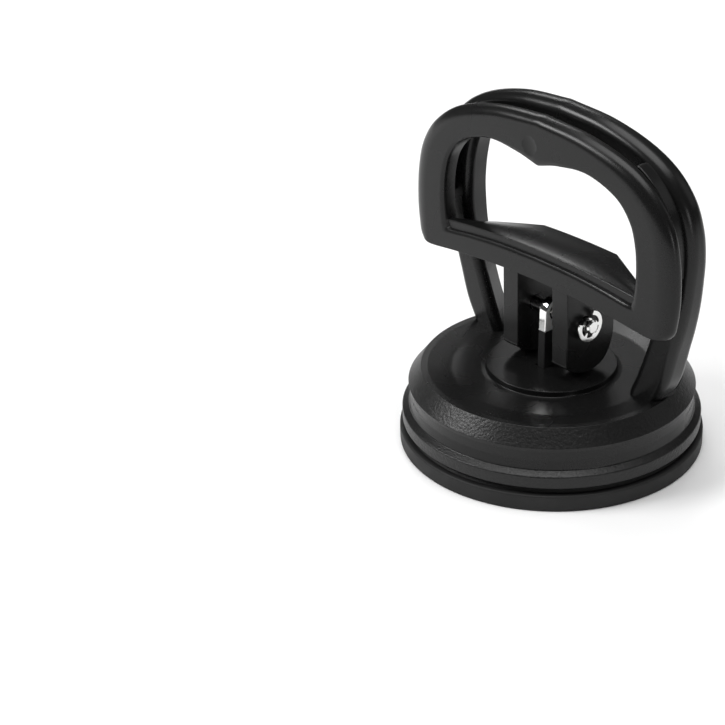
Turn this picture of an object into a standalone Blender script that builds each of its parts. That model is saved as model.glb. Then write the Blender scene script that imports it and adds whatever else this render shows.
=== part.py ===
"""Mini vacuum suction cup with a cam lever, closed and clamped.

Metres, +Z up.  The origin is the centre of the pad's sealing face.  +X runs along the pivot
pin, -Y is the lever's side and +Y is the side of the fixed handle.
"""
import math

import bmesh
import bpy
from mathutils import Matrix, Vector

MM = 0.001
CLEARANCE = 0.3          # gap between touching pieces, in mm like every size below

# Rubber pad
PAD_RADIUS = 28.2
PAD_RIM_HEIGHT = 3.1
PAD_BEAD_RADIUS = 26.3
PAD_HUB_RADIUS = 10.0
PAD_HUB_HEIGHT = 9.5

# Steel pull tab, moulded into the pad and hung on the pivot pin
TAB_HALF_THICKNESS = 0.9   # along the pin
TAB_EYE_RADIUS = 2.6
TAB_ROOT_HALF_DEPTH = 2.9
ANCHOR_RADIUS = 6.0
ANCHOR_BOTTOM = 3.4
ANCHOR_TOP = 5.2

# Pivot pin and its E-clips
PIN_HEIGHT = 25.7
PIN_RADIUS = 1.4
PIN_HALF_LENGTH = 10.2
GROOVE_RADIUS = 1.0
GROOVE_START = 8.85
GROOVE_WIDTH = 0.8
CLIP_THICKNESS = 0.5
CLIP_RADIUS = 3.0
CLIP_OPENING = math.radians(40)
CLIP_TURN = math.radians(26)

# Housing, a turned shell
SKIRT_RADIUS = 27.7
SKIRT_BOTTOM = 4.35
SKIRT_TOP = 6.65
WAIST_RADIUS = 26.2
WAIST_BOTTOM = 7.4
SHOULDER_RADIUS = 26.5
SHOULDER_HEIGHT = 11.7
DECK_RADIUS = 24.1
DECK_HEIGHT = 14.7
DECK_DISH = 0.5
BOSS_RADIUS = 12.1
BOSS_HEIGHT = 15.2
WALL = 2.2

# Fixed handle, the rear loop: both faces lean forward with height, so that it thins upwards
FIXED_FRONT = 2.2
FIXED_REAR = 8.3
FRONT_LEAN = 0.033
REAR_LEAN = 0.067
FRONT_ROUNDING = 1.4
REAR_ROUNDING = 1.8
WINDOW_ROUNDING = 1.2
RIB_BOTTOM = 41.0
RIB_TOP = 61.0

# Cam lever, the front loop with two cam arms
LEVER_FRONT = -5.0
LEVER_REAR = -1.8
LEVER_CROWN = -2.9
LEVER_TUCK = 0.3
SHELF_FRONT = -4.2
SHELF_TOP = 39.0           # front edge at the middle
SHELF_CROWN = 0.3
SHELF_FALL = 1.3          # front edge to rear edge
SHELF_ARCH = 1.5          # middle to the ends
SHELF_BOTTOM = 34.9
ARM_INSIDE = 4.3
ARM_OUTSIDE = 8.1
CAM_REACH = PIN_HEIGHT - BOSS_HEIGHT - CLEARANCE
CAM_FALL = 2.1           # how much the reach falls per radian of opening
CAM_SWEEP = math.radians(46)

CURVE_STEPS = 4
ROUND_SEGMENTS = 72


def remove_everything():
    """Empty the scene that the script starts from."""
    for item in list(bpy.data.objects):
        bpy.data.objects.remove(item, do_unlink=True)


def make_material(name, colour, roughness, metallic=0.0):
    """A plain Principled material."""
    material = bpy.data.materials.new(name)
    material.use_nodes = True
    shader = material.node_tree.nodes["Principled BSDF"]
    shader.inputs["Base Color"].default_value = (*colour, 1.0)
    shader.inputs["Roughness"].default_value = roughness
    shader.inputs["Metallic"].default_value = metallic
    return material


def finish_object(name, mesh_data, material, origin=(0.0, 0.0, 0.0)):
    """Turn a bmesh in millimetres into a named object whose origin is at the given point."""
    bmesh.ops.remove_doubles(mesh_data, verts=mesh_data.verts, dist=0.001)
    bmesh.ops.recalc_face_normals(mesh_data, faces=mesh_data.faces)
    bmesh.ops.transform(mesh_data, verts=mesh_data.verts,
                        matrix=Matrix.Scale(MM, 4) @ Matrix.Translation(-Vector(origin)))
    mesh = bpy.data.meshes.new(name)
    mesh_data.to_mesh(mesh)
    mesh_data.free()
    mesh.shade_smooth()
    mesh.set_sharp_from_angle(angle=math.radians(35))
    mesh.materials.append(material)
    piece = bpy.data.objects.new(name, mesh)
    piece.location = Vector(origin) * MM
    bpy.context.scene.collection.objects.link(piece)
    return piece


def combine(piece, tool, operation):
    """Cut or join one solid with another and keep only the result."""
    modifier = piece.modifiers.new(operation.title(), "BOOLEAN")
    modifier.operation = operation
    modifier.solver = "EXACT"
    modifier.object = tool
    bpy.context.view_layer.update()
    evaluated = piece.evaluated_get(bpy.context.evaluated_depsgraph_get())
    mesh = bpy.data.meshes.new_from_object(evaluated)
    piece.modifiers.clear()
    piece.data = mesh
    mesh.set_sharp_from_angle(angle=math.radians(35))
    bpy.data.objects.remove(tool, do_unlink=True)


def turned(profile, segments=ROUND_SEGMENTS):
    """Revolve a closed profile of (radius, height) points about the Z axis."""
    mesh_data = bmesh.new()
    points = [mesh_data.verts.new((radius, 0.0, height)) for radius, height in profile]
    pairs = zip(points, points[1:] + points[:1])
    edges = [mesh_data.edges.new(pair) for pair in pairs]
    bmesh.ops.spin(mesh_data, geom=points + edges, cent=(0, 0, 0), axis=(0, 0, 1),
                   angle=2 * math.pi, steps=segments, use_merge=True)
    bmesh.ops.remove_doubles(mesh_data, verts=mesh_data.verts, dist=0.001)
    bmesh.ops.dissolve_degenerate(mesh_data, edges=mesh_data.edges, dist=0.0005)
    loose = [vert for vert in mesh_data.verts if not vert.link_faces]
    bmesh.ops.delete(mesh_data, geom=loose, context="VERTS")
    return mesh_data


def lofted(rings, closed=False):
    """Skin a list of equally long rings, and cap the ends or close the skin on itself."""
    mesh_data = bmesh.new()
    rows = [[mesh_data.verts.new(point) for point in ring] for ring in rings]
    pairs = list(zip(rows, rows[1:]))
    if closed:
        pairs.append((rows[-1], rows[0]))
    else:
        mesh_data.faces.new(rows[0])
        mesh_data.faces.new(reversed(rows[-1]))
    count = len(rows[0])
    for near, far in pairs:
        for index in range(count):
            after = (index + 1) % count
            mesh_data.faces.new((near[index], near[after], far[after], far[index]))
    return mesh_data


def bar_along_x(radius, start, end, segments=32):
    """A round bar along X, centred on the pivot."""
    rings = []
    for x in (start, end):
        angles = [2 * math.pi * index / segments for index in range(segments)]
        rings.append([(x, radius * math.cos(angle), PIN_HEIGHT + radius * math.sin(angle))
                      for angle in angles])
    return lofted(rings)


def block(low, high):
    """A rectangular block between two corners."""
    mesh_data = bmesh.new()
    size = Vector(high) - Vector(low)
    centre = (Vector(high) + Vector(low)) / 2
    bmesh.ops.create_cube(mesh_data, size=1.0,
                          matrix=Matrix.Translation(centre) @ Matrix.Diagonal((*size, 1.0)))
    return mesh_data


def smooth_curve(points, steps=CURVE_STEPS):
    """A Catmull-Rom curve through the points, ends included."""
    first = 2 * Vector(points[0]) - Vector(points[1])
    last = 2 * Vector(points[-1]) - Vector(points[-2])
    knots = [first, *(Vector(point) for point in points), last]
    curve = []
    for before, start, end, after in zip(knots, knots[1:], knots[2:], knots[3:]):
        for step in range(steps):
            t = step / steps
            curve.append(0.5 * (2 * start + (end - before) * t
                                + (2 * before - 5 * start + 4 * end - after) * t ** 2
                                + (3 * start - before - 3 * end + after) * t ** 3))
    curve.append(Vector(points[-1]))
    return curve


def whole_outline(half, closed):
    """Mirror a half outline that ends on the middle plane.

    A closed outline also starts on the middle plane, so both its end points stay single.
    """
    right = smooth_curve(half)
    left = [Vector((-point.x, point.y)) for point in reversed(right[:-1])]
    return right + (left[:-1] if closed else left)


def ring_at(outline, y):
    """Place a flat (x, z) outline at one depth."""
    return [(point.x, y, point.y) for point in outline]


def blend(first, second, share):
    """The outline part of the way from one outline to another."""
    return [start.lerp(end, share) for start, end in zip(first, second)]


def make_pad(rubber):
    """Flat rubber disc with a bead under the skirt and a hub that holds the anchor."""
    bead_top = SKIRT_BOTTOM - CLEARANCE
    inner = ANCHOR_RADIUS + CLEARANCE
    profile = [(0.0, 0.0), (PAD_RADIUS - 0.4, 0.0), (PAD_RADIUS, 0.4),
               (PAD_RADIUS, PAD_RIM_HEIGHT - 0.5), (PAD_RADIUS - 0.5, PAD_RIM_HEIGHT),
               (PAD_BEAD_RADIUS + 0.5, PAD_RIM_HEIGHT), (PAD_BEAD_RADIUS, bead_top),
               (PAD_BEAD_RADIUS - 2.4, bead_top), (PAD_BEAD_RADIUS - 3.2, 3.6),
               (PAD_HUB_RADIUS + 4.0, 3.6), (PAD_HUB_RADIUS, 5.6),
               (PAD_HUB_RADIUS, PAD_HUB_HEIGHT - 0.8), (PAD_HUB_RADIUS - 0.8, PAD_HUB_HEIGHT),
               (3.6, PAD_HUB_HEIGHT), (3.6, ANCHOR_TOP + CLEARANCE),
               (inner, ANCHOR_TOP + CLEARANCE), (inner, ANCHOR_BOTTOM - CLEARANCE),
               (0.0, ANCHOR_BOTTOM - CLEARANCE)]
    return finish_object("suction_pad", turned(profile), rubber)


def make_pull_tab(steel):
    """Steel strip with a round eye for the pin and a disc foot inside the rubber."""
    eye = [(TAB_EYE_RADIUS * math.cos(angle), PIN_HEIGHT + TAB_EYE_RADIUS * math.sin(angle))
           for angle in (math.pi * index / 16 for index in range(17))]
    root = TAB_ROOT_HALF_DEPTH
    outline = eye + [(-root, BOSS_HEIGHT), (-root, ANCHOR_TOP - 0.5), (root, ANCHOR_TOP - 0.5),
                     (root, BOSS_HEIGHT)]
    rings = [[(x, y, z) for y, z in outline] for x in (-TAB_HALF_THICKNESS, TAB_HALF_THICKNESS)]
    tab = finish_object("pull_tab", lofted(rings), steel)
    foot_profile = [(0.0, ANCHOR_BOTTOM), (ANCHOR_RADIUS, ANCHOR_BOTTOM),
                    (ANCHOR_RADIUS, ANCHOR_TOP), (0.0, ANCHOR_TOP)]
    foot = finish_object("anchor_foot", turned(foot_profile, 36), steel)
    combine(tab, foot, "UNION")
    hole = bar_along_x(PIN_RADIUS + CLEARANCE, -TAB_HALF_THICKNESS - 1, TAB_HALF_THICKNESS + 1)
    combine(tab, finish_object("tab_hole", hole, steel), "DIFFERENCE")
    return tab


def make_pin(steel):
    """Pivot pin with a groove for an E-clip near each end."""
    stations = [(PIN_HALF_LENGTH, PIN_RADIUS - 0.3), (PIN_HALF_LENGTH - 0.3, PIN_RADIUS),
                (GROOVE_START + GROOVE_WIDTH, PIN_RADIUS),
                (GROOVE_START + GROOVE_WIDTH, GROOVE_RADIUS),
                (GROOVE_START, GROOVE_RADIUS), (GROOVE_START, PIN_RADIUS)]
    right = [(radius, x) for x, radius in stations]
    left = [(radius, -x) for x, radius in reversed(stations)]
    profile = [(0.0, PIN_HALF_LENGTH), *right, *left, (0.0, -PIN_HALF_LENGTH)]
    mesh_data = turned(profile, 32)
    turn = Matrix.Rotation(math.pi / 2, 4, "Y")
    bmesh.ops.transform(mesh_data, verts=mesh_data.verts,
                        matrix=Matrix.Translation((0, 0, PIN_HEIGHT)) @ turn)
    return finish_object("pivot_pin", mesh_data, steel, origin=(0.0, 0.0, PIN_HEIGHT))


def make_e_clip(side, steel):
    """E-clip: an open ring with three short inner teeth, its mouth turned up and to the front."""
    inner = GROOVE_RADIUS + CLEARANCE
    relief = 2.05
    tooth = math.radians(13)
    teeth = (math.radians(-152), math.radians(-90), math.radians(-28))
    sweep_start = math.pi / 2 + CLIP_OPENING
    sweep = 2 * math.pi - 2 * CLIP_OPENING
    steps = 60
    angles = [sweep_start + sweep * index / steps for index in range(steps + 1)]
    outside = [(CLIP_RADIUS, angle) for angle in angles]
    inside = []
    for angle in reversed(angles):
        turn = (angle + math.pi) % (2 * math.pi) - math.pi
        nearest = min(abs(turn - centre) for centre in teeth)
        inside.append((inner if nearest < tooth else relief, angle))
    middle = GROOVE_START + GROOVE_WIDTH / 2
    rings = []
    for offset in (-CLIP_THICKNESS / 2, CLIP_THICKNESS / 2):
        x = side * (middle + offset)
        rings.append([(x, radius * math.cos(angle + CLIP_TURN),
                       PIN_HEIGHT + radius * math.sin(angle + CLIP_TURN))
                      for radius, angle in outside + inside])
    name = "e_clip_right" if side > 0 else "e_clip_left"
    return finish_object(name, lofted(rings), steel)


def make_housing(plastic):
    """Turned plastic shell, with a raised boss for the cams and a slot for the pull tab."""
    ceiling = DECK_HEIGHT - DECK_DISH - WALL
    profile = [(SKIRT_RADIUS - 0.2, SKIRT_BOTTOM), (SKIRT_RADIUS, SKIRT_BOTTOM + 0.2),
               (SKIRT_RADIUS, SKIRT_TOP), (WAIST_RADIUS + 0.3, WAIST_BOTTOM),
               (WAIST_RADIUS, WAIST_BOTTOM), (WAIST_RADIUS, SHOULDER_HEIGHT - 0.5),
               (SHOULDER_RADIUS, SHOULDER_HEIGHT), (DECK_RADIUS, DECK_HEIGHT),
               (DECK_RADIUS - 1.5, DECK_HEIGHT - 0.05), (BOSS_RADIUS + 4.0, DECK_HEIGHT - DECK_DISH),
               (BOSS_RADIUS + 0.3, DECK_HEIGHT - DECK_DISH), (BOSS_RADIUS, BOSS_HEIGHT - 0.2),
               (BOSS_RADIUS - 0.2, BOSS_HEIGHT), (0.0, BOSS_HEIGHT), (0.0, ceiling),
               (SHOULDER_RADIUS - WALL - 2.4, ceiling), (WAIST_RADIUS - WALL, ceiling - 2.4),
               (WAIST_RADIUS - WALL, SKIRT_BOTTOM)]
    housing = finish_object("base_housing", turned(profile, 96), plastic)
    slot_x = TAB_HALF_THICKNESS + CLEARANCE
    slot_y = TAB_ROOT_HALF_DEPTH + CLEARANCE
    slot = block((-slot_x, -slot_y, ceiling - 2), (slot_x, slot_y, BOSS_HEIGHT + 2))
    combine(housing, finish_object("tab_slot", slot, plastic), "DIFFERENCE")
    return housing


def fixed_outlines():
    """Half outlines of the rear loop, foot to top: outer edge, window, window at the back."""
    foot = DECK_HEIGHT + CLEARANCE
    outer = [(23.5, foot), (25.5, 19.3), (27.1, 25.0), (28.4, 29.5), (29.5, 34.5), (30.2, 39.5),
             (30.6, 44.5), (30.2, 49.5), (28.4, 54.5), (24.5, 59.0), (18.5, 62.3), (10.0, 64.6),
             (0.0, 65.45)]
    inner = [(16.7, foot), (18.4, 19.0), (20.2, 24.0), (21.8, 29.0), (22.9, 33.5), (23.6, 38.0),
             (23.5, 43.0), (22.8, 48.5), (20.9, 53.5), (17.4, 56.9), (12.6, 58.6), (6.8, 59.6),
             (0.0, 60.0)]
    back = [(18.6, foot), (20.6, 19.0), (22.2, 24.0), (23.3, 29.0), (23.9, 33.5), (24.1, 38.0),
            (23.9, 43.0), (22.8, 48.8), (20.9, 53.8), (17.4, 57.2), (12.6, 58.9), (6.8, 59.9),
            (0.0, 60.3)]
    return outer, inner, back


def fixed_front(z):
    """Depth of the rear loop's front face at one height."""
    return FIXED_FRONT - FRONT_LEAN * (z - DECK_HEIGHT)


def fixed_rear(z):
    """Depth of the rear loop's back face at one height."""
    return FIXED_REAR - REAR_LEAN * (z - DECK_HEIGHT)


def quarter_round(start, across, along, steps=3):
    """Points from start + across to start + along, each a (plan point, depth) pair."""
    points = []
    for step in range(steps + 1):
        angle = math.pi / 2 * step / steps
        shift = across[0] * math.cos(angle) + along[0] * math.sin(angle)
        depth = across[1] * math.cos(angle) + along[1] * math.sin(angle)
        points.append((start[0] + shift, start[1] + depth))
    return points


def fixed_section(outer, inner, back):
    """Cross-section of the rear loop, rounded outside and at the window's front edge."""
    inward = (inner - outer).normalized()
    still = Vector((0.0, 0.0))
    front, rear = fixed_front(outer.y), fixed_rear(outer.y)
    path = quarter_round((inner - inward * WINDOW_ROUNDING, fixed_front(inner.y) + WINDOW_ROUNDING),
                         (inward * WINDOW_ROUNDING, 0.0), (still, -WINDOW_ROUNDING), steps=2)
    path += quarter_round((outer + inward * FRONT_ROUNDING, front + FRONT_ROUNDING),
                          (still, -FRONT_ROUNDING), (-inward * FRONT_ROUNDING, 0.0))
    path += quarter_round((outer + inward * REAR_ROUNDING, rear - REAR_ROUNDING),
                          (-inward * REAR_ROUNDING, 0.0), (still, REAR_ROUNDING))
    path.append((back, fixed_rear(back.y)))
    return [(point.x, y, point.y) for point, y in path]


def make_stop_rib(outer, inner):
    """Rib on one upper corner of the rear loop's front, which the closed lever rests against."""
    start = LEVER_REAR + CLEARANCE
    sections = []
    for outside, inside in zip(outer, inner):
        if outside.x > 0 and RIB_BOTTOM < outside.y < RIB_TOP:
            near, far = outside.lerp(inside, 0.2), outside.lerp(inside, 0.5)
            end = fixed_front(far.y) + 0.5
            sections.append([(near.x, start, near.y), (near.x, end, near.y),
                             (far.x, end, far.y), (far.x, start, far.y)])
    return lofted(sections)


def make_fixed_handle(plastic):
    """Rear loop that stands on the deck, with a stop rib on each upper corner."""
    outer, inner, back = (whole_outline(half, closed=False) for half in fixed_outlines())
    sections = [fixed_section(*points) for points in zip(outer, inner, back)]
    handle = finish_object("fixed_handle", lofted(sections), plastic)
    for side in (1, -1):
        rib = make_stop_rib(outer, inner)
        bmesh.ops.scale(rib, vec=(side, 1, 1), verts=rib.verts)
        combine(handle, finish_object("stop_rib", rib, plastic), "UNION")
    return handle


def lever_outlines():
    """Half outlines of the front loop from its bottom to its top: edge, flat face, window."""
    edge = [(0.0, 33.3), (10.0, 33.05), (20.0, 32.3), (28.4, 31.4), (30.9, 32.4), (31.7, 35.2),
            (32.1, 40.0), (31.7, 46.0), (30.3, 51.4), (26.9, 56.3), (20.7, 60.5), (11.0, 63.2),
            (0.0, 64.15)]
    flat = [(0.0, 33.4), (10.0, 33.15), (20.0, 32.4), (27.2, 31.7), (28.0, 32.7), (28.2, 35.2),
            (28.3, 40.0), (28.0, 46.0), (26.8, 50.7), (24.0, 54.8), (18.8, 58.6), (10.3, 61.3),
            (0.0, 62.4)]
    window = [(0.0, 37.85), (9.0, 37.6), (16.0, 37.0), (21.9, 36.3), (22.9, 37.0), (23.3, 39.0),
              (23.5, 43.0), (23.0, 47.6), (21.5, 51.6), (18.0, 55.0), (11.4, 57.0), (4.8, 56.3),
              (0.0, 55.0)]
    return edge, flat, window


def make_lever_loop():
    """The lever's finger loop: flat front, rounded rim and a window with a thumb point."""
    edge, flat, window = (whole_outline(half, closed=True) for half in lever_outlines())
    steps = 4
    rings = []
    for step in range(steps + 1):
        angle = math.pi / 2 * step / steps
        y = LEVER_FRONT + (LEVER_CROWN - LEVER_FRONT) * (1 - math.cos(angle))
        rings.append(ring_at(blend(flat, edge, math.sin(angle)), y))
    rings.append(ring_at(blend(edge, flat, LEVER_TUCK / 4), (LEVER_CROWN + LEVER_REAR) / 2))
    rings.append(ring_at(blend(edge, flat, LEVER_TUCK), LEVER_REAR))
    rings.append(ring_at(window, LEVER_REAR))
    rings.append(ring_at(window, LEVER_FRONT + 0.4))
    rings.append(ring_at(blend(window, flat, 0.07), LEVER_FRONT))
    return lofted(rings, closed=True)


def make_shelf():
    """Thumb shelf on the crossbar: arched like the bar, crowned, with its rear corners cut off."""
    stations = [(0.0, 7.0), (4.5, 7.0), (9.0, 7.0), (13.2, 4.8), (17.4, 2.7), (24.0, -1.0)]
    stations = [(-x, rear) for x, rear in reversed(stations[1:])] + stations
    sections = []
    for x, rear in stations:
        arch = SHELF_ARCH * (x / stations[-1][0]) ** 2
        top = SHELF_TOP - arch
        bottom = SHELF_BOTTOM - arch
        crest = SHELF_FRONT + 0.3 * (rear - SHELF_FRONT)
        sections.append([(x, SHELF_FRONT, bottom), (x, rear, bottom), (x, rear, top - SHELF_FALL),
                         (x, crest, top + SHELF_CROWN), (x, SHELF_FRONT, top)])
    return lofted(sections)


def cam_outline():
    """Side outline of a cam arm as (y, z) points, from the front top round to the rear top."""
    top = 35.8
    outline = [(LEVER_FRONT + 0.3, top), (-4.5, PIN_HEIGHT - 7.0)]
    sweep_steps = 8
    for step in range(sweep_steps + 1):
        normal = CAM_SWEEP * (1 - step / sweep_steps)
        reach = CAM_REACH - CAM_FALL * normal
        y = -reach * math.sin(normal) + CAM_FALL * math.cos(normal)
        z = -reach * math.cos(normal) - CAM_FALL * math.sin(normal)
        outline.append((y, PIN_HEIGHT + z))
    heel = [(CAM_FALL, PIN_HEIGHT - CAM_REACH), (5.0, 16.5), (6.7, 18.6), (7.5, 21.0),
            (7.75, 23.5), (7.5, 28.0), (6.6, 33.0), (6.2, top)]
    outline += [tuple(point) for point in smooth_curve(heel)[1:]]
    return outline


def make_lever(plastic):
    """Cam lever: finger loop, thumb shelf and two cam arms."""
    pivot = (0.0, 0.0, PIN_HEIGHT)
    lever = finish_object("cam_lever", make_lever_loop(), plastic, origin=pivot)

    combine(lever, finish_object("shelf", make_shelf(), plastic), "UNION")

    for side in (-1, 1):
        sides = (side * ARM_INSIDE, side * ARM_OUTSIDE)
        arm = lofted([[(x, y, z) for y, z in cam_outline()] for x in sides])
        combine(lever, finish_object("arm", arm, plastic), "UNION")

    bore = bar_along_x(PIN_RADIUS + CLEARANCE, -ARM_OUTSIDE - 1, ARM_OUTSIDE + 1)
    combine(lever, finish_object("pin_bore", bore, plastic), "DIFFERENCE")
    return lever


def build():
    remove_everything()
    rubber = make_material("black_rubber", (0.035, 0.035, 0.036), 0.75)
    plastic = make_material("black_plastic", (0.022, 0.022, 0.023), 0.48)
    textured = make_material("textured_black_plastic", (0.02, 0.02, 0.021), 0.6)
    steel = make_material("plated_steel", (0.78, 0.78, 0.77), 0.2, metallic=1.0)
    make_pad(rubber)
    make_pull_tab(steel)
    make_pin(steel)
    for side in (-1, 1):
        make_e_clip(side, steel)
    make_housing(textured)
    make_fixed_handle(plastic)
    make_lever(plastic)


build()
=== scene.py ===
"""Looks of the mini vacuum suction cup: the fine surfaces, materials, light and camera.

Lengths in this script are millimetres until finish_piece() turns them into metres.  The frame
is the CAD's: the origin is the centre of the sealing face, +X runs along the pivot pin and -Y
is the lever's side.
"""
import math

import bmesh
import bpy
from mathutils import Matrix, Vector


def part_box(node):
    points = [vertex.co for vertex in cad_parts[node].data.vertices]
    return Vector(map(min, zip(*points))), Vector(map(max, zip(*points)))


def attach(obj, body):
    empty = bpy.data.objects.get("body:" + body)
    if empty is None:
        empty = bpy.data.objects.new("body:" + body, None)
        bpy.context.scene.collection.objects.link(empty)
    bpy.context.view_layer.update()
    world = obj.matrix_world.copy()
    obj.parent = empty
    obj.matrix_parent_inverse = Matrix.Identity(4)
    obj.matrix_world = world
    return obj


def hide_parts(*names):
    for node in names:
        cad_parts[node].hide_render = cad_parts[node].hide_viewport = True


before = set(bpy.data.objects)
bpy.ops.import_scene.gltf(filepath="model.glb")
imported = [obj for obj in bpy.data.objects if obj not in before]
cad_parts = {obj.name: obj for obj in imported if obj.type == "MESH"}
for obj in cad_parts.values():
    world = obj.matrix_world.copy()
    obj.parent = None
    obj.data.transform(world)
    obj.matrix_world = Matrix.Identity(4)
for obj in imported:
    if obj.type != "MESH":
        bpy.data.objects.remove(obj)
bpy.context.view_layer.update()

MM = 0.001


def box_mm(node):
    """A CAD node's lowest and highest corners, in millimetres."""
    low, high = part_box(node)
    return Vector(low) / MM, Vector(high) / MM


PAD_HIGH = box_mm("suction_pad")[1]
HOUSING_LOW, HOUSING_HIGH = box_mm("base_housing")
HANDLE_HIGH = box_mm("fixed_handle")[1]
LEVER_LOW, LEVER_HIGH = box_mm("cam_lever")
PIN_LOW, PIN_HIGH = box_mm("pivot_pin")
TAB_HIGH = box_mm("pull_tab")[1]
CLIP_LOW, CLIP_HIGH = box_mm("e_clip_right")

CLEARANCE = 0.3
BORE_GAP = 0.1
PAD_RADIUS = PAD_HIGH.x
PAD_RIM_HEIGHT = 3.1
PAD_HUB_RADIUS = 10.0
PAD_BORE_RADIUS = 3.6
SKIRT_RADIUS = HOUSING_HIGH.x
SKIRT_BOTTOM = HOUSING_LOW.z
BOSS_HEIGHT = HOUSING_HIGH.z
DECK_HEIGHT = BOSS_HEIGHT - 0.5
DECK_RADIUS = SKIRT_RADIUS - 3.6
SHOULDER_RADIUS = SKIRT_RADIUS - 1.2
SHOULDER_HEIGHT = DECK_HEIGHT - 3.0
WAIST_RADIUS = SKIRT_RADIUS - 1.5
DECK_DISH = 0.75
BOSS_RADIUS = 12.1
PIN_HEIGHT = (PIN_LOW.z + PIN_HIGH.z) / 2
PIN_RADIUS = (PIN_HIGH.z - PIN_LOW.z) / 2
CLIP_RADIUS = PIN_HEIGHT - CLIP_LOW.z
CLIP_X = (CLIP_LOW.x + CLIP_HIGH.x) / 2
CLIP_THICKNESS = CLIP_HIGH.x - CLIP_LOW.x
GROOVE_RADIUS = 1.0
GROOVE_WIDTH = 0.8
FIXED_FRONT = 2.2
FIXED_REAR = HANDLE_HIGH.y
FRONT_LEAN = 0.033
REAR_LEAN = 0.067
FRONT_ROUNDING = 1.7
FRONT_ROUNDING_GROWTH = 0.5
GROWTH_START = 22.0
GROWTH_HEIGHT = 25.0
REAR_ROUNDING = 1.8
WINDOW_ROUNDING = 1.8
RIB_BOTTOM = 41.0
RIB_TOP = 61.0
RIB_FROM_EDGE = 0.2
RIB_TO_WINDOW = 0.5
RIB_ROOT_DEPTH = 0.8
LEVER_FRONT = LEVER_LOW.y
LEVER_REAR = -1.8
LEVER_CROWN = -2.9
LEVER_TUCK = 0.3
ARM_INSIDE = 4.3
ARM_OUTSIDE = 8.1
CAM_REACH = PIN_HEIGHT - BOSS_HEIGHT - CLEARANCE
CAM_FALL = 2.1
CAM_SWEEP = math.radians(46)
SHELF_FRONT = -4.2
SHELF_TOP = 39.0
SHELF_FALL = 1.3
SHELF_ARCH = 1.5
SHELF_CREST = 3.2
SHELF_BOTTOM = 34.9
ARM_TOP = 35.8
DIMPLE_PLACE = (-1.5, 58.6)
DIMPLE_RADIUS = 9.0
DIMPLE_DEPTH = 0.2
TAB_HALF_THICKNESS = 0.9
TAB_EYE_RADIUS = TAB_HIGH.z - PIN_HEIGHT
TAB_ROOT_HALF_DEPTH = 2.9
TAB_BOTTOM = 5.5
# Height up to which the tab is painted black as a dark reflection of the deck; the tab's outline also
# narrows here.
TAB_PAINTED_DARK_TOP = 22.3
CURVE_STEPS = 10
SMOOTH_ANGLE = math.radians(32)
CAMERA_PLACE = (226.8, -236.5, 188.35)
CAMERA_LENS = 99.3


# ---------------------------------------------------------------- mesh helpers

def finish_piece(name, mesh_data, material):
    """Turn a bmesh in millimetres into a smooth-shaded object in metres."""
    bmesh.ops.remove_doubles(mesh_data, verts=mesh_data.verts, dist=0.0005)
    bmesh.ops.recalc_face_normals(mesh_data, faces=mesh_data.faces)
    bmesh.ops.scale(mesh_data, vec=(MM, MM, MM), verts=mesh_data.verts)
    mesh = bpy.data.meshes.new(name)
    mesh_data.to_mesh(mesh)
    mesh_data.free()
    mesh.shade_smooth()
    mesh.set_sharp_from_angle(angle=SMOOTH_ANGLE)
    mesh.materials.append(material)
    piece = bpy.data.objects.new(name, mesh)
    bpy.context.scene.collection.objects.link(piece)
    return piece


def apply_modifiers(piece):
    """Keep the evaluated mesh and drop the modifiers."""
    bpy.context.view_layer.update()
    evaluated = piece.evaluated_get(bpy.context.evaluated_depsgraph_get())
    mesh = bpy.data.meshes.new_from_object(evaluated)
    piece.modifiers.clear()
    piece.data = mesh


def round_edges(piece, width, segments):
    """Round every edge sharper than 30 degrees."""
    bevel = piece.modifiers.new("Rounding", "BEVEL")
    bevel.width = width * MM
    bevel.segments = segments
    bevel.limit_method = "ANGLE"
    bevel.angle_limit = math.radians(30)
    apply_modifiers(piece)
    return piece


def combine(piece, tool, operation="UNION"):
    """Join a solid to a piece, or cut it out of the piece."""
    boolean = piece.modifiers.new("Combine", "BOOLEAN")
    boolean.operation = operation
    boolean.solver = "EXACT"
    boolean.object = tool
    apply_modifiers(piece)
    bpy.data.objects.remove(tool, do_unlink=True)


def settle_normals(piece):
    """Smooth shading that keeps the large faces flat."""
    piece.data.shade_smooth()
    piece.data.set_sharp_from_angle(angle=SMOOTH_ANGLE)
    weighted = piece.modifiers.new("Normals", "WEIGHTED_NORMAL")
    weighted.keep_sharp = True
    weighted.weight = 80


def filleted(profile, steps=5):
    """Round each (radius, height, fillet) corner of a closed profile with a quadratic curve."""
    result = []
    count = len(profile)
    for index in range(count):
        corner = Vector(profile[index][:2])
        before = Vector(profile[index - 1][:2]) - corner
        after = Vector(profile[(index + 1) % count][:2]) - corner
        fillet = profile[index][2]
        if fillet == 0:
            result.append(corner)
            continue
        half = before.angle(after) / 2
        reach = min(fillet / math.tan(half), before.length * 0.49, after.length * 0.49)
        start = corner + before.normalized() * reach
        end = corner + after.normalized() * reach
        for step in range(steps + 1):
            share = step / steps
            first = start.lerp(corner, share)
            second = corner.lerp(end, share)
            result.append(first.lerp(second, share))
    return result


def turned(profile, segments):
    """Revolve a closed profile of (radius, height) points about the Z axis."""
    mesh_data = bmesh.new()
    points = [mesh_data.verts.new((radius, 0.0, height)) for radius, height in profile]
    edges = [mesh_data.edges.new(pair) for pair in zip(points, points[1:] + points[:1])]
    bmesh.ops.spin(mesh_data, geom=points + edges, cent=(0, 0, 0), axis=(0, 0, 1),
                   angle=2 * math.pi, steps=segments, use_merge=True)
    bmesh.ops.remove_doubles(mesh_data, verts=mesh_data.verts, dist=0.0005)
    bmesh.ops.dissolve_degenerate(mesh_data, edges=mesh_data.edges, dist=0.0003)
    loose = [vert for vert in mesh_data.verts if not vert.link_faces]
    bmesh.ops.delete(mesh_data, geom=loose, context="VERTS")
    return mesh_data


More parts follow.
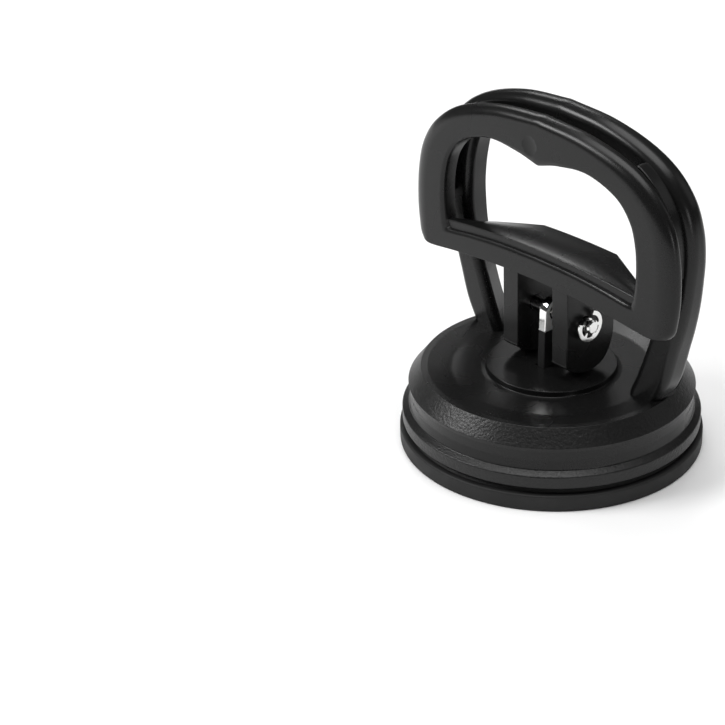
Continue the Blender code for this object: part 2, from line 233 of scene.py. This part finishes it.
def lofted(rings, closed=False):
    """Skin equally long rings, and cap the ends or close the skin on itself."""
    mesh_data = bmesh.new()
    rows = [[mesh_data.verts.new(point) for point in ring] for ring in rings]
    pairs = list(zip(rows, rows[1:]))
    if closed:
        pairs.append((rows[-1], rows[0]))
    else:
        mesh_data.faces.new(rows[0])
        mesh_data.faces.new(reversed(rows[-1]))
    count = len(rows[0])
    for near, far in pairs:
        for index in range(count):
            after = (index + 1) % count
            mesh_data.faces.new((near[index], near[after], far[after], far[index]))
    return mesh_data


def block(low, high):
    """A rectangular block between two corners."""
    mesh_data = bmesh.new()
    size = Vector(high) - Vector(low)
    centre = (Vector(high) + Vector(low)) / 2
    bmesh.ops.create_cube(mesh_data, size=1.0,
                          matrix=Matrix.Translation(centre) @ Matrix.Diagonal((*size, 1.0)))
    return mesh_data


def bar_along_x(radius, start, end):
    """A round bar along X, centred on the pivot."""
    segments = 64
    rings = []
    for x in (start, end):
        angles = [2 * math.pi * index / segments for index in range(segments)]
        rings.append([(x, radius * math.cos(angle), PIN_HEIGHT + radius * math.sin(angle))
                      for angle in angles])
    return lofted(rings)


def smooth_curve(points):
    """A Catmull-Rom curve through the points, ends included."""
    first = 2 * Vector(points[0]) - Vector(points[1])
    last = 2 * Vector(points[-1]) - Vector(points[-2])
    knots = [first, *(Vector(point) for point in points), last]
    curve = []
    for before, start, end, after in zip(knots, knots[1:], knots[2:], knots[3:]):
        for step in range(CURVE_STEPS):
            t = step / CURVE_STEPS
            curve.append(0.5 * (2 * start + (end - before) * t
                                + (2 * before - 5 * start + 4 * end - after) * t ** 2
                                + (3 * start - before - 3 * end + after) * t ** 3))
    curve.append(Vector(points[-1]))
    return curve


def whole_outline(half, closed):
    """Mirror a half outline that ends on the middle plane."""
    right = smooth_curve(half)
    left = [Vector((-point.x, point.y)) for point in reversed(right[:-1])]
    return right + (left[:-1] if closed else left)


def ring_at(outline, y):
    """Place a flat (x, z) outline at one depth."""
    return [(point.x, y, point.y) for point in outline]


def blend(first, second, share):
    """The outline part of the way from one outline to another."""
    return [start.lerp(end, share) for start, end in zip(first, second)]


# ---------------------------------------------------------------- materials

def new_material(name, colour, roughness, metallic=0.0):
    """A Principled material with its texture coordinate node."""
    material = bpy.data.materials.new(name)
    material.use_nodes = True
    nodes = material.node_tree.nodes
    shader = nodes["Principled BSDF"]
    shader.inputs["Base Color"].default_value = (*colour, 1.0)
    shader.inputs["Roughness"].default_value = roughness
    shader.inputs["Metallic"].default_value = metallic
    coordinates = nodes.new("ShaderNodeTexCoord")
    return material, shader, coordinates


def add_noise(material, coordinates, scale, detail, stretch=(1.0, 1.0, 1.0)):
    """A noise texture in object space; scale is in features per metre."""
    nodes, links = material.node_tree.nodes, material.node_tree.links
    mapping = nodes.new("ShaderNodeMapping")
    mapping.inputs["Scale"].default_value = stretch
    links.new(coordinates.outputs["Object"], mapping.inputs["Vector"])
    noise = nodes.new("ShaderNodeTexNoise")
    noise.inputs["Scale"].default_value = scale
    noise.inputs["Detail"].default_value = detail
    links.new(mapping.outputs["Vector"], noise.inputs["Vector"])
    return noise


def add_range(material, source, low, high):
    """Map the middle of a noise texture's values onto a range."""
    remap = material.node_tree.nodes.new("ShaderNodeMapRange")
    remap.inputs["From Min"].default_value = 0.3
    remap.inputs["From Max"].default_value = 0.7
    remap.inputs["To Min"].default_value = low
    remap.inputs["To Max"].default_value = high
    material.node_tree.links.new(source, remap.inputs["Value"])
    return remap.outputs["Result"]


def add_bump(material, shader, source, strength, distance, under=None):
    """A bump in metres, on top of another bump when one is given."""
    bump = material.node_tree.nodes.new("ShaderNodeBump")
    bump.inputs["Strength"].default_value = strength
    bump.inputs["Distance"].default_value = distance
    links = material.node_tree.links
    links.new(source, bump.inputs["Height"])
    if under is not None:
        links.new(under.outputs["Normal"], bump.inputs["Normal"])
    links.new(bump.outputs["Normal"], shader.inputs["Normal"])
    return bump


def add_colour_mix(material, shader, factor, dark, light):
    """Vary the base colour between two colours."""
    nodes, links = material.node_tree.nodes, material.node_tree.links
    mix = nodes.new("ShaderNodeMix")
    mix.data_type = "RGBA"
    mix.inputs["A"].default_value = (*dark, 1.0)
    mix.inputs["B"].default_value = (*light, 1.0)
    links.new(factor, mix.inputs["Factor"])
    links.new(mix.outputs["Result"], shader.inputs["Base Color"])


def satin_plastic():
    """Smooth moulded black plastic; only its gloss and its skin vary, very finely."""
    material, shader, coordinates = new_material("satin_black_plastic", (0.008,) * 3, 0.27)
    skin_and_painted_dark_reflection = add_noise(material, coordinates, 2400.0, 3.0)
    flow = add_noise(material, coordinates, 90.0, 2.0)
    add_colour_mix(material, shader, skin_and_painted_dark_reflection.outputs["Fac"], (0.006,) * 3, (0.01,) * 3)
    roughness = add_range(material, flow.outputs["Fac"], 0.23, 0.31)
    material.node_tree.links.new(roughness, shader.inputs["Roughness"])
    add_bump(material, shader, skin_and_painted_dark_reflection.outputs["Fac"], 0.05, 0.00002)
    shader.inputs["Specular IOR Level"].default_value = 0.28
    return material


def textured_plastic():
    """Spark-eroded black plastic: fine speckle that catches the light."""
    material, shader, coordinates = new_material("textured_black_plastic", (0.006,) * 3, 0.4)
    grain = add_noise(material, coordinates, 2000.0, 2.0)
    pits = add_noise(material, coordinates, 3400.0, 2.0)
    add_colour_mix(material, shader, grain.outputs["Fac"], (0.004,) * 3, (0.01,) * 3)
    roughness = add_range(material, pits.outputs["Fac"], 0.32, 0.46)
    material.node_tree.links.new(roughness, shader.inputs["Roughness"])
    soft = add_bump(material, shader, pits.outputs["Fac"], 0.5, 0.00006)
    add_bump(material, shader, grain.outputs["Fac"], 0.7, 0.00012, soft)
    shader.inputs["Specular IOR Level"].default_value = 0.38
    return material


def rubber():
    """Soft black rubber with a light bloom."""
    material, shader, coordinates = new_material("black_rubber", (0.013,) * 3, 0.62)
    bloom = add_noise(material, coordinates, 260.0, 5.0)
    pores = add_noise(material, coordinates, 4200.0, 2.0)
    add_colour_mix(material, shader, bloom.outputs["Fac"], (0.01,) * 3, (0.016,) * 3)
    roughness = add_range(material, bloom.outputs["Fac"], 0.55, 0.7)
    material.node_tree.links.new(roughness, shader.inputs["Roughness"])
    add_bump(material, shader, pores.outputs["Fac"], 0.2, 0.00002)
    shader.inputs["Specular IOR Level"].default_value = 0.35
    return material


def bright_steel(name, roughness, stretch, metallic=1.0):
    """Bright plated steel with faint drawing lines along one axis."""
    material, shader, coordinates = new_material(name, (0.86, 0.86, 0.85), roughness, metallic)
    lines = add_noise(material, coordinates, 3000.0, 2.0, stretch)
    marks = add_noise(material, coordinates, 420.0, 4.0)
    add_colour_mix(material, shader, marks.outputs["Fac"], (0.8, 0.8, 0.79), (0.92, 0.92, 0.91))
    varied = add_range(material, marks.outputs["Fac"], roughness * 0.7, roughness * 1.4)
    material.node_tree.links.new(varied, shader.inputs["Roughness"])
    add_bump(material, shader, lines.outputs["Fac"], 0.06, 0.000006)
    return material


# ---------------------------------------------------------------- the pad and its hardware

def make_pad(material):
    """Rubber disc with a moulded dimple in its sealing face and a bead under the skirt."""
    bead_top = SKIRT_BOTTOM - CLEARANCE
    rim = PAD_RIM_HEIGHT
    profile = [(0.0, 0.25, 0), (0.35, 0.22, 0), (0.9, 0.0, 0), (PAD_RADIUS, 0.0, 0.35),
               (PAD_RADIUS, rim, 0.45), (26.9, rim, 0.3), (26.2, bead_top, 0.2),
               (23.9, bead_top, 0.3), (23.1, 3.6, 0.3), (14.0, 3.6, 1.0),
               (PAD_HUB_RADIUS, 5.6, 0.6), (PAD_HUB_RADIUS, PAD_HIGH.z, 0.6),
               (PAD_BORE_RADIUS, PAD_HIGH.z, 0.3), (PAD_BORE_RADIUS, TAB_BOTTOM, 0),
               (0.0, TAB_BOTTOM, 0)]
    pad = finish_piece("rubber_pad", turned(filleted(profile), 256), material)
    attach(pad, "pad")
    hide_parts("suction_pad")
    settle_normals(pad)


def make_tab(steel, painted_bright_steel, skin_and_painted_dark_reflection):
    """Steel strip with a round eye for the pin; from the boss up to the cut height it is painted black as
    a dark reflection of the deck, all but its rounded left edge.
    """
    steps = 48
    eye = [(TAB_EYE_RADIUS * math.cos(angle), PIN_HEIGHT + TAB_EYE_RADIUS * math.sin(angle))
           for angle in (math.pi * index / steps for index in range(steps + 1))]
    root = TAB_ROOT_HALF_DEPTH
    share = (TAB_PAINTED_DARK_TOP - BOSS_HEIGHT) / (PIN_HEIGHT - BOSS_HEIGHT)
    edge = root + (TAB_EYE_RADIUS - root) * share
    outline = eye + [(-edge, TAB_PAINTED_DARK_TOP), (-root, BOSS_HEIGHT), (-root, TAB_BOTTOM), (root, TAB_BOTTOM),
                     (root, BOSS_HEIGHT), (edge, TAB_PAINTED_DARK_TOP)]
    rings = [[(x, y, z) for y, z in outline]
             for x in (-TAB_HALF_THICKNESS, TAB_HALF_THICKNESS)]
    tab = finish_piece("steel_pull_tab", lofted(rings), steel)
    hole = bar_along_x(PIN_RADIUS + BORE_GAP, -TAB_HALF_THICKNESS - 1, TAB_HALF_THICKNESS + 1)
    combine(tab, finish_piece("tab_hole", hole, steel), "DIFFERENCE")
    split = bmesh.new()
    split.from_mesh(tab.data)
    bmesh.ops.bisect_plane(split, geom=split.verts[:] + split.edges[:] + split.faces[:],
                           plane_co=(0, 0, TAB_PAINTED_DARK_TOP * MM), plane_no=(0, 0, 1))
    split.to_mesh(tab.data)
    split.free()
    round_edges(tab, 0.25, 4)
    tab.data.materials.append(painted_bright_steel)
    tab.data.materials.append(skin_and_painted_dark_reflection)
    # Painted reflections: below the cut, all faces but the rounded left edges get black rubber as a
    # painted dark reflection of the deck, not a coating; above the cut, the +X face gets the light
    # non-metallic steel as a painted bright reflection.
    for face in tab.data.polygons:
        left_edge = -0.97 < face.normal.x < -0.2
        if face.center.z < TAB_PAINTED_DARK_TOP * MM and not left_edge:
            face.material_index = 2
        elif face.center.z > TAB_PAINTED_DARK_TOP * MM and face.normal.x > 0.9:
            face.material_index = 1
    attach(tab, "pad")
    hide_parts("pull_tab")
    settle_normals(tab)


def make_pin(material):
    """Pivot pin with chamfered ends and a groove for each clip."""
    half = PIN_HIGH.x
    outer = CLIP_X + GROOVE_WIDTH / 2
    inner = CLIP_X - GROOVE_WIDTH / 2
    stations = [(half, PIN_RADIUS - 0.35), (half - 0.3, PIN_RADIUS), (outer, PIN_RADIUS),
                (outer, GROOVE_RADIUS), (inner, GROOVE_RADIUS), (inner, PIN_RADIUS)]
    right = [(radius, x, 0.06) for x, radius in stations]
    left = [(radius, -x, 0.06) for x, radius in reversed(stations)]
    profile = [(0.0, half, 0), *right, *left, (0.0, -half, 0)]
    mesh_data = turned(filleted(profile, 3), 64)
    bmesh.ops.transform(mesh_data, verts=mesh_data.verts,
                        matrix=Matrix.Translation((0, 0, PIN_HEIGHT))
                        @ Matrix.Rotation(math.pi / 2, 4, "Y"))
    pin = finish_piece("steel_pivot_pin", mesh_data, material)
    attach(pin, "pad")
    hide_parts("pivot_pin")
    settle_normals(pin)


def make_clip(side, material):
    """Stamped E-clip: three inner teeth, rounded edges, its mouth turned up and to the front."""
    inner = GROOVE_RADIUS + 0.05
    relief = 2.15
    opening = math.radians(40)
    roll = math.radians(26)
    tooth = math.radians(9)
    teeth = [math.radians(angle) for angle in (-152, -90, -28)]
    steps = 120
    start = math.pi / 2 + opening
    sweep = 2 * math.pi - 2 * opening
    angles = [start + sweep * index / steps for index in range(steps + 1)]
    outside = [(CLIP_RADIUS, angle) for angle in angles]
    inside = []
    for angle in reversed(angles):
        turn = (angle + math.pi) % (2 * math.pi) - math.pi
        away = min(abs(turn - centre) for centre in teeth) / tooth
        share = min(max((away - 0.85) / 0.3, 0.0), 1.0)
        inside.append((inner + (relief - inner) * share, angle))
    rings = []
    for offset in (-CLIP_THICKNESS / 2, CLIP_THICKNESS / 2):
        x = side * (CLIP_X + offset)
        rings.append([(x, radius * math.cos(angle + roll),
                       PIN_HEIGHT + radius * math.sin(angle + roll))
                      for radius, angle in outside + inside])
    word = "right" if side > 0 else "left"
    clip = finish_piece(f"steel_e_clip_{word}", lofted(rings), material)
    round_edges(clip, 0.1, 3)
    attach(clip, "pad")
    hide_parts(f"e_clip_{word}")
    settle_normals(clip)


# ---------------------------------------------------------------- housing and fixed handle

def make_shell(material):
    """Turned housing shell with filleted steps, a dished deck and a low boss."""
    ceiling = DECK_HEIGHT - 2.7
    dish = DECK_HEIGHT - DECK_DISH
    profile = [(25.2, SKIRT_BOTTOM, 0.2), (SKIRT_RADIUS, SKIRT_BOTTOM, 0.25),
               (SKIRT_RADIUS, 6.65, 0.4), (WAIST_RADIUS + 0.25, 7.4, 0.4),
               (WAIST_RADIUS - 0.05, 9.2, 1.5), (WAIST_RADIUS + 0.1, 11.0, 0.4),
               (SHOULDER_RADIUS, SHOULDER_HEIGHT, 0.18), (DECK_RADIUS, DECK_HEIGHT, 0.15),
               (DECK_RADIUS - 1.2, DECK_HEIGHT - 0.03, 0.6), (18.5, dish + 0.1, 6.0),
               (BOSS_RADIUS + 0.9, dish, 0.5), (BOSS_RADIUS, dish + 0.15, 0.25),
               (BOSS_RADIUS, BOSS_HEIGHT, 0.18), (6.0, BOSS_HEIGHT - 0.05, 2.0),
               (0.0, BOSS_HEIGHT - 0.08, 0), (0.0, ceiling, 0), (21.9, ceiling, 0.5),
               (24.0, ceiling - 2.4, 0.5), (24.0, 6.0, 0.2)]
    shell = finish_piece("housing_moulding", turned(filleted(profile), 288), material)
    slot_x = TAB_HALF_THICKNESS + CLEARANCE
    slot_y = TAB_ROOT_HALF_DEPTH + CLEARANCE
    slot = block((-slot_x, -slot_y, ceiling - 2), (slot_x, slot_y, BOSS_HEIGHT + 2))
    combine(shell, finish_piece("slot", slot, material), "DIFFERENCE")
    return shell


def fixed_front(z):
    """Depth of the rear loop's front face at one height."""
    return FIXED_FRONT - FRONT_LEAN * (z - DECK_HEIGHT)


def fixed_rear(z):
    """Depth of the rear loop's back face at one height."""
    return FIXED_REAR - REAR_LEAN * (z - DECK_HEIGHT)


def fixed_outlines():
    """Half outlines of the rear loop, root to top: outer edge, window, window at the back."""
    root = DECK_HEIGHT - 1.3
    outer = [(23.1, root), (23.5, 15.0), (25.5, 19.3), (27.1, 25.0), (28.4, 29.5), (29.5, 34.5),
             (30.2, 39.5), (30.6, 44.5), (30.2, 49.5), (28.4, 54.5), (24.5, 59.0), (18.5, 62.3),
             (10.0, 64.6), (0.0, HANDLE_HIGH.z)]
    inner = [(16.3, root), (16.7, 15.0), (18.4, 19.0), (20.2, 24.0), (21.8, 29.0), (22.9, 33.5),
             (23.6, 38.0), (23.5, 43.0), (22.8, 48.5), (20.9, 53.5), (17.4, 56.9), (12.6, 58.6),
             (6.8, 59.6), (0.0, 60.0)]
    back = [(18.1, root), (18.6, 15.0), (20.6, 19.0), (22.2, 24.0), (23.3, 29.0), (23.9, 33.5),
            (24.1, 38.0), (23.9, 43.0), (22.8, 48.8), (20.9, 53.8), (17.4, 57.2), (12.6, 58.9),
            (6.8, 59.9), (0.0, 60.3)]
    return outer, inner, back


def quarter_round(start, across, along):
    """Points from start + across to start + along, each a (plan point, depth) pair."""
    steps = 8
    points = []
    for step in range(steps + 1):
        angle = math.pi / 2 * step / steps
        shift = across[0] * math.cos(angle) + along[0] * math.sin(angle)
        depth = across[1] * math.cos(angle) + along[1] * math.sin(angle)
        points.append((start[0] + shift, start[1] + depth))
    return points


def fixed_section(outer, inner, back):
    """Cross-section of the rear loop: rounder towards the top, flared towards its back."""
    inward = (inner - outer).normalized()
    still = Vector((0.0, 0.0))
    front, rear = fixed_front(outer.y), fixed_rear(outer.y)
    growth = min(max((outer.y - GROWTH_START) / GROWTH_HEIGHT, 0.0), 1.0)
    rounding = FRONT_ROUNDING + FRONT_ROUNDING_GROWTH * growth
    path = quarter_round((inner - inward * WINDOW_ROUNDING, fixed_front(inner.y) + WINDOW_ROUNDING),
                         (inward * WINDOW_ROUNDING, 0.0), (still, -WINDOW_ROUNDING))
    path += quarter_round((outer + inward * rounding, front + rounding),
                          (still, -rounding), (-inward * rounding, 0.0))
    path += quarter_round((outer + inward * REAR_ROUNDING, rear - REAR_ROUNDING),
                          (-inward * REAR_ROUNDING, 0.0), (still, REAR_ROUNDING))
    path.append((back, fixed_rear(back.y)))
    return [(point.x, y, point.y) for point, y in path]


def make_stop_rib(outer, inner, side, material):
    """Rounded rib on one upper corner of the loop's front, which the closed lever rests on."""
    sections = []
    for outside, inside in zip(outer, inner):
        if outside.x > 0 and RIB_BOTTOM < outside.y < RIB_TOP:
            near = outside.lerp(inside, RIB_FROM_EDGE)
            far = outside.lerp(inside, RIB_TO_WINDOW)
            end = fixed_front(far.y) + RIB_ROOT_DEPTH
            tip = LEVER_REAR + CLEARANCE
            sections.append([(side * point.x, y, point.y) for point, y in (
                (near, tip), (near, end), (far, end), (far, tip))])
    return round_edges(finish_piece("stop_rib", lofted(sections), material), 0.3, 3)


def make_fixed_loop(material):
    """Rear loop with a bull-nosed outer rim and two stop ribs."""
    outer, inner, back = (whole_outline(half, closed=False) for half in fixed_outlines())
    sections = [fixed_section(*points) for points in zip(outer, inner, back)]
    loop = round_edges(finish_piece("fixed_loop", lofted(sections), material), 0.2, 3)
    for side in (1, -1):
        combine(loop, make_stop_rib(outer, inner, side, material))
    return loop


def make_housing(smooth, textured):
    """The one moulding of shell and fixed loop, with speckled outer bands."""
    housing = make_shell(smooth)
    combine(housing, make_fixed_loop(smooth))
    housing.data.materials.append(textured)
    for face in housing.data.polygons:
        centre = face.center / MM
        radius = math.hypot(centre.x, centre.y)
        on_bands = radius > DECK_RADIUS - 0.02 and centre.z < DECK_HEIGHT + 0.02
        waist = 7.2 < centre.z < SHOULDER_HEIGHT - 0.15 and radius < SHOULDER_RADIUS
        face.material_index = 1 if on_bands and not waist else 0
    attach(housing, "housing")
    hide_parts("base_housing", "fixed_handle")
    settle_normals(housing)


# ---------------------------------------------------------------- cam lever

def make_finger_loop(material):
    """Finger loop: flat front, rounded rim and a window with a thumb point."""
    edge_half = [(0.0, 33.3), (10.0, 33.05), (20.0, 32.3), (28.4, 31.4), (30.9, 32.4),
                 (31.7, 35.2), (32.1, 40.0), (31.7, 46.0), (30.3, 51.4), (26.9, 56.3),
                 (20.7, 60.5), (11.0, 63.2), (0.0, LEVER_HIGH.z)]
    flat_half = [(0.0, 33.45), (10.0, 33.2), (20.0, 32.45), (27.2, 31.7), (28.0, 32.7),
                 (28.2, 35.2), (28.3, 40.0), (28.0, 46.0), (26.8, 50.7), (24.0, 54.8),
                 (18.8, 58.6), (10.3, 61.3), (0.0, 62.4)]
    window_half = [(0.0, 37.85), (9.0, 37.6), (16.0, 37.0), (21.9, 36.3), (22.9, 37.0),
                   (23.3, 39.0), (23.5, 43.0), (23.0, 47.6), (21.5, 51.6), (18.0, 55.0),
                   (11.4, 57.0), (4.8, 56.3), (0.0, 55.0)]
    edge, flat, window = (whole_outline(half, closed=True)
                          for half in (edge_half, flat_half, window_half))
    steps = 12
    rings = []
    for step in range(steps + 1):
        angle = math.pi / 2 * step / steps
        y = LEVER_FRONT + (LEVER_CROWN - LEVER_FRONT) * (1 - math.cos(angle))
        rings.append(ring_at(blend(flat, edge, math.sin(angle)), y))
    for step in range(1, 7):
        angle = math.pi / 2 * step / 7
        y = LEVER_CROWN + (LEVER_REAR - LEVER_CROWN) * math.sin(angle)
        rings.append(ring_at(blend(edge, flat, LEVER_TUCK * (1 - math.cos(angle))), y))
    rings += [ring_at(blend(edge, flat, LEVER_TUCK + 0.05), LEVER_REAR),
              ring_at(blend(window, edge, 0.04), LEVER_REAR),
              ring_at(window, LEVER_REAR - 0.3),
              ring_at(window, LEVER_FRONT + 0.9),
              ring_at(blend(window, flat, 0.05), LEVER_FRONT + 0.35),
              ring_at(blend(window, flat, 0.14), LEVER_FRONT + 0.08),
              ring_at(blend(window, flat, 0.24), LEVER_FRONT)]
    return finish_piece("lever_moulding", lofted(rings, closed=True), material)


def make_dimple(material):
    """A ball whose tip presses a shallow dimple into the front face, above the thumb point."""
    mesh_data = bmesh.new()
    x, z = DIMPLE_PLACE
    centre = Vector((x, LEVER_FRONT + DIMPLE_DEPTH - DIMPLE_RADIUS, z))
    bmesh.ops.create_uvsphere(mesh_data, u_segments=96, v_segments=64, radius=DIMPLE_RADIUS,
                              matrix=Matrix.Translation(centre))
    return finish_piece("dimple", mesh_data, material)


def make_shelf(material):
    """Thumb shelf on the crossbar: arched along X, crowned towards its front edge."""
    stations = [(0.0, 7.0), (3.0, 7.0), (6.0, 7.0), (9.0, 7.0), (11.8, 5.55), (14.6, 4.1),
                (17.4, 2.7), (20.7, 0.85), (24.0, -1.0)]
    stations = [(-x, rear) for x, rear in reversed(stations[1:])] + stations
    steps = 14
    sections = []
    for x, rear in stations:
        arch = SHELF_ARCH * (x / stations[-1][0]) ** 2
        crown = []
        for step in range(steps + 1):
            share = step / steps
            y = SHELF_FRONT + (rear - SHELF_FRONT) * share
            rise = SHELF_CREST * share * (1 - share) ** 2
            crown.append((x, y, SHELF_TOP - arch - SHELF_FALL * share + rise))
        bottom = SHELF_BOTTOM - arch
        sections.append([(x, SHELF_FRONT, bottom), (x, rear, bottom), *reversed(crown)])
    shelf = finish_piece("shelf", lofted(sections), material)
    return round_edges(shelf, 0.2, 3)


def cam_outline():
    """Side outline of a cam arm as (y, z) points, from the front top round to the rear top."""
    outline = [(LEVER_FRONT + 0.3, ARM_TOP), (-4.5, PIN_HEIGHT - 7.0)]
    sweep_steps = 20
    for step in range(sweep_steps + 1):
        normal = CAM_SWEEP * (1 - step / sweep_steps)
        reach = CAM_REACH - CAM_FALL * normal
        y = -reach * math.sin(normal) + CAM_FALL * math.cos(normal)
        z = -reach * math.cos(normal) - CAM_FALL * math.sin(normal)
        outline.append((y, PIN_HEIGHT + z))
    heel = [(CAM_FALL, PIN_HEIGHT - CAM_REACH), (5.0, 16.5), (6.7, 18.6), (7.5, 21.0),
            (7.75, 23.5), (7.5, 28.0), (6.6, 33.0), (6.2, ARM_TOP)]
    outline += [tuple(point) for point in smooth_curve(heel)[1:]]
    return outline


def make_lever(material):
    """Cam lever: finger loop, thumb shelf and two cam arms."""
    lever = make_finger_loop(material)
    combine(lever, make_dimple(material), "DIFFERENCE")
    combine(lever, make_shelf(material))
    for side in (-1, 1):
        sides = (side * ARM_INSIDE, side * ARM_OUTSIDE)
        arm = lofted([[(x, y, z) for y, z in cam_outline()] for x in sides])
        arm = round_edges(finish_piece("arm", arm, material), 0.2, 3)
        combine(lever, arm)
    bore = bar_along_x(PIN_RADIUS + BORE_GAP, -ARM_OUTSIDE - 1, ARM_OUTSIDE + 1)
    combine(lever, finish_piece("bore", bore, material), "DIFFERENCE")
    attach(lever, "lever")
    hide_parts("cam_lever")
    settle_normals(lever)


# ---------------------------------------------------------------- floor, light and camera

def make_floor():
    """A plain pale floor, far larger than the view."""
    mesh_data = bmesh.new()
    bmesh.ops.create_grid(mesh_data, x_segments=8, y_segments=8, size=3000.0)
    material, shader, coordinates = new_material("white_floor", (0.93, 0.93, 0.93), 0.7)
    tone = add_noise(material, coordinates, 3.0, 2.0)
    add_colour_mix(material, shader, tone.outputs["Fac"], (0.92,) * 3, (0.94,) * 3)
    shader.inputs["Specular IOR Level"].default_value = 0.1
    floor = finish_piece("floor", mesh_data, material)


def add_area_light(name, azimuth, elevation, distance, size, power):
    """A softbox aimed at the cup; azimuth 0 is in front (-Y) and grows towards +X."""
    aim = Vector((0.0, 0.0, 0.03))
    data = bpy.data.lights.new(name, "AREA")
    data.shape = "RECTANGLE"
    data.size, data.size_y = size
    data.energy = power
    light = bpy.data.objects.new(name, data)
    turn, rise = math.radians(azimuth), math.radians(elevation)
    offset = Vector((math.sin(turn) * math.cos(rise), -math.cos(turn) * math.cos(rise),
                     math.sin(rise))) * distance
    light.location = aim + offset
    light.rotation_euler = offset.to_track_quat("Z", "Y").to_euler()
    bpy.context.scene.collection.objects.link(light)


def make_light():
    """Overhead softbox for the white floor, and smaller ones around the cup for its edges."""
    world = bpy.data.worlds.new("studio")
    world.use_nodes = True
    background = world.node_tree.nodes["Background"]
    background.inputs["Color"].default_value = (1.0, 1.0, 1.0, 1.0)
    background.inputs["Strength"].default_value = 0.06
    bpy.context.scene.world = world
    bpy.context.scene.view_settings.view_transform = "Standard"
    add_area_light("overhead", 0.0, 90.0, 1.5, (1.3, 1.3), 22.0)
    add_area_light("left_box", -40.0, 37.0, 0.9, (0.36, 0.24), 4.4)
    add_area_light("right_box", 77.0, 9.5, 0.9, (0.2, 0.28), 0.6)
    add_area_light("rear_box", 144.0, 30.0, 0.9, (0.35, 0.5), 0.3)
    add_area_light("rear_left_wall", -130.0, 32.0, 1.1, (0.7, 0.3), 0.3)
    add_area_light("rear_left_box", -124.0, 38.0, 0.9, (0.26, 0.12), 0.8)


def make_camera():
    """Long lens, slightly rolled, looking down at the cup from its front right."""
    azimuth, elevation, roll = (math.radians(angle) for angle in (49.91, 27.87, -1.85))
    back = Vector((math.sin(azimuth) * math.cos(elevation),
                   -math.cos(azimuth) * math.cos(elevation), math.sin(elevation)))
    level = Vector((math.cos(azimuth), math.sin(azimuth), 0.0))
    upright = back.cross(level)
    right = math.cos(roll) * level + math.sin(roll) * upright
    up = -math.sin(roll) * level + math.cos(roll) * upright
    data = bpy.data.cameras.new("camera")
    data.sensor_width = 36.0
    data.lens = CAMERA_LENS
    data.clip_start = 0.01
    camera = bpy.data.objects.new("camera", data)
    matrix = Matrix((right, up, back)).transposed().to_4x4()
    matrix.translation = Vector(CAMERA_PLACE) * MM
    camera.matrix_world = matrix
    bpy.context.scene.collection.objects.link(camera)
    bpy.context.scene.camera = camera


def build():
    """Make the camera, the light, the floor and every piece."""
    make_camera()
    make_light()
    make_floor()
    smooth = satin_plastic()
    textured = textured_plastic()
    black_rubber = rubber()
    make_pad(black_rubber)
    drawn = bright_steel("drawn_steel", 0.05, (1.0, 1.0, 0.05))
    # A non-metallic light copy of the steel for the tab's upper +X face: a painted bright reflection, not
    # a matt finish.
    painted_bright_steel = bright_steel("steel_painted_bright", 0.4, (1.0, 1.0, 0.05), 0.0)
    # black_rubber also serves on the tab as its painted dark reflection.
    make_tab(drawn, painted_bright_steel, black_rubber)
    stamped = bright_steel("stamped_steel", 0.09, (1.0, 1.0, 1.0))
    make_pin(stamped)
    for side in (-1, 1):
        make_clip(side, stamped)
    make_housing(smooth, textured)
    make_lever(smooth)


build()
